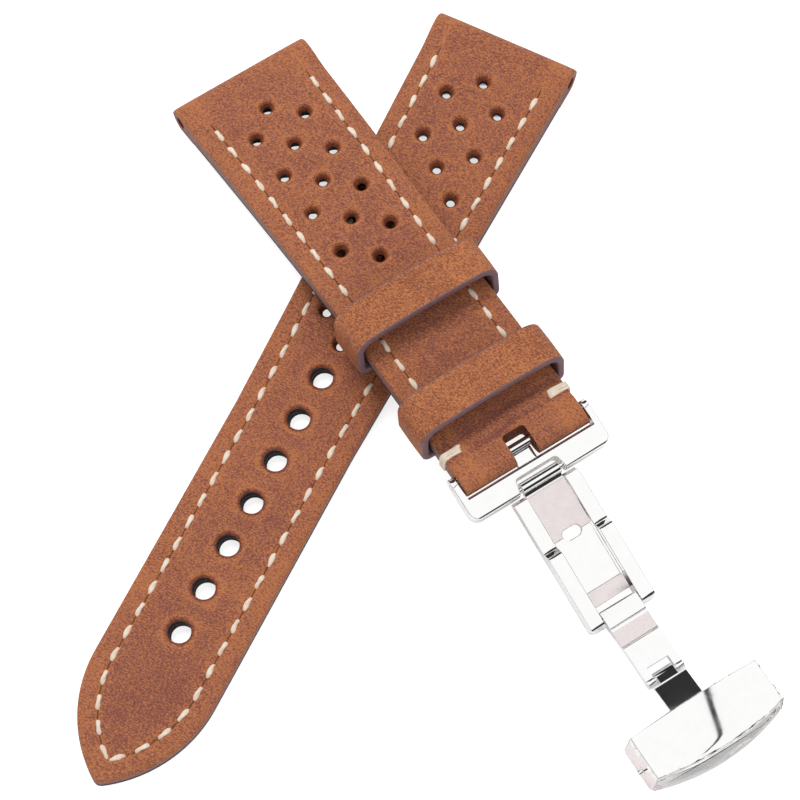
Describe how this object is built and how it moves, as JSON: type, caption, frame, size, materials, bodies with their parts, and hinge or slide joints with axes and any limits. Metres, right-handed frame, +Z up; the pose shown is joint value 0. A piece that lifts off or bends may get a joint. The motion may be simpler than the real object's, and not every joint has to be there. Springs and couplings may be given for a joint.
{
  "type": "leather watch strap",
  "caption": "Two-piece perforated leather watch strap with contrast stitching, leather keepers and a steel folding clasp, lying open.",
  "frame": {"origin": "middle of the long piece's lug bore", "axes": "+X along the lug bore, -Y towards the long piece's tip, +Z up, out of the face of the leather; the table is at z = -0.0021"},
  "size_m": [0.1157, 0.1251, 0.0152],
  "materials": {
    "orange_leather": "orange-tan pull-up leather, fine pores, darker mottling",
    "keeper_leather": "darker rubbed brown leather with burnished edges",
    "filler": "pressed fibre filler",
    "black_lining": "matt charcoal lining leather",
    "polished_steel": "mirror-polished stainless steel",
    "satin_steel": "satin stainless steel"
  },
  "bodies": {
    "long_strap": {"long_top_leather": "orange_leather", "long_padding": "filler", "long_lining": "black_lining"},
    "short_strap": {"short_top_leather": "orange_leather", "short_padding": "filler", "short_lining": "black_lining", "fixed_keeper": "keeper_leather", "spring_bar_tube": "satin_steel", "spring_bar_tips": "satin_steel", "spring_bar_coil": "satin_steel"},
    "free_keeper": {"free_keeper": "keeper_leather"},
    "frame": {"buckle_frame": "polished_steel", "frame_hinge_pin": "satin_steel"},
    "outer_blade": {"outer_blade": "polished_steel", "fold_hinge_pin": "satin_steel"},
    "inner_blade": {"inner_blade": "polished_steel", "cover_hinge_pin": "satin_steel"},
    "tongue": {"tongue": "polished_steel", "tongue_peg": "satin_steel", "cover_bar": "satin_steel"},
    "cover": {"cover_shell": "polished_steel"}
  },
  "joints": [
    {"name": "short_strap_lift", "type": "slide", "parent": "long_strap", "child": "short_strap", "axis": [0, 0, 1], "range_m": [0, 0.04]},
    {"name": "free_keeper_slide", "type": "slide", "parent": "short_strap", "child": "free_keeper", "axis": [0.8582, -0.5055, 0.0891], "range_m": [-0.008, 0.009]},
    {"name": "buckle_tilt", "type": "hinge", "parent": "short_strap", "child": "frame", "pos_m": [0.03054, -0.05767, 0.00776], "axis": [-0.5075, -0.8616, 0], "range_deg": [-30, 35]},
    {"name": "outer_blade_hinge", "type": "hinge", "parent": "frame", "child": "outer_blade", "pos_m": [0.03492, -0.06025, 0.00647], "axis": [-0.5075, -0.8616, 0], "range_deg": [-40, 60]},
    {"name": "clasp_fold", "type": "hinge", "parent": "outer_blade", "child": "inner_blade", "pos_m": [0.05209, -0.07036, 0.0001], "axis": [0.5075, 0.8616, 0], "range_deg": [-165.4, 0]},
    {"name": "cover_hinge", "type": "hinge", "parent": "inner_blade", "child": "tongue", "pos_m": [0.0611, -0.07567, -0.0009], "axis": [0.5075, 0.8616, 0], "range_deg": [0, 182.4]},
    {"name": "cover_flip", "type": "hinge", "parent": "tongue", "child": "cover", "pos_m": [0.06952, -0.08063, 0.00015], "axis": [0.5075, 0.8616, 0], "range_deg": [0, 70]}
  ],
  "couplings": [
    {"joint": "cover_hinge", "follows": "clasp_fold", "ratio": -1.1019}
  ]
}
